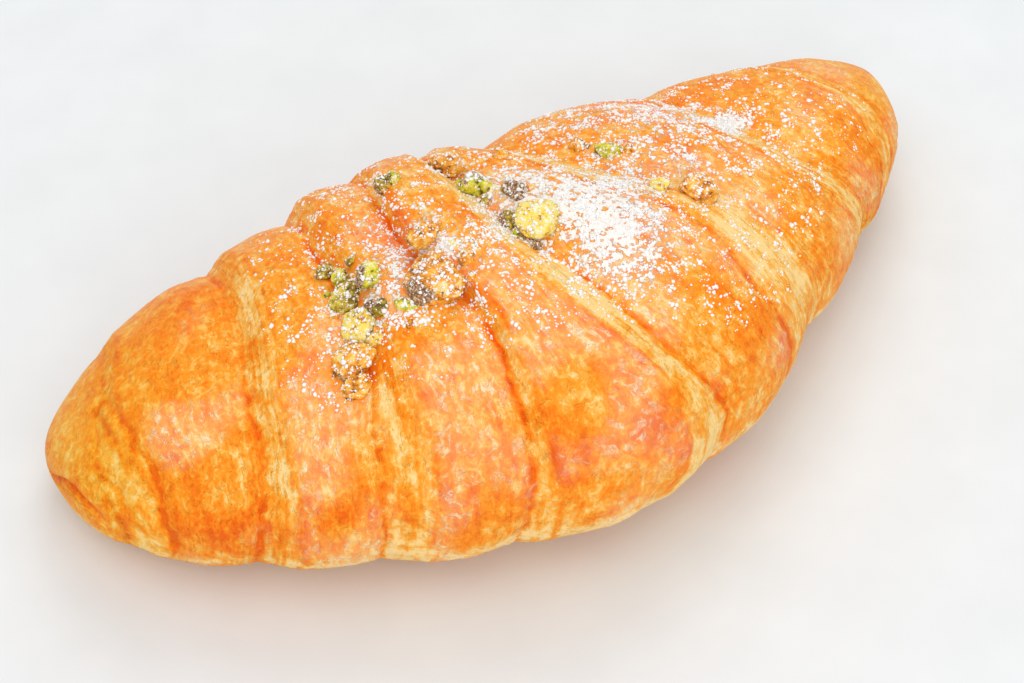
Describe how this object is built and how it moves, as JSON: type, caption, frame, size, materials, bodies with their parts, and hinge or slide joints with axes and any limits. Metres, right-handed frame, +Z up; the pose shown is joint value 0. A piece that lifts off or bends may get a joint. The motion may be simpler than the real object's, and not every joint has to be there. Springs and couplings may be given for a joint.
{
  "type": "pistachio croissant",
  "caption": "Large baked croissant, lightly crescent, with stepped rolled-dough edges, chopped pistachio chips on its crown and a flat underside.",
  "frame": {"origin": "bottom centre of the croissant's bounding box, on the plane its flat underside rests on", "axes": "+X along the croissant's length towards its thinner raised tip, +Y towards the side its tips bend to, +Z up through the crown"},
  "size_m": [0.1724, 0.0802, 0.0481],
  "materials": {
    "baked_crust": null
  },
  "bodies": {
    "root": {"croissant": "baked_crust"}
  },
  "joints": []
}
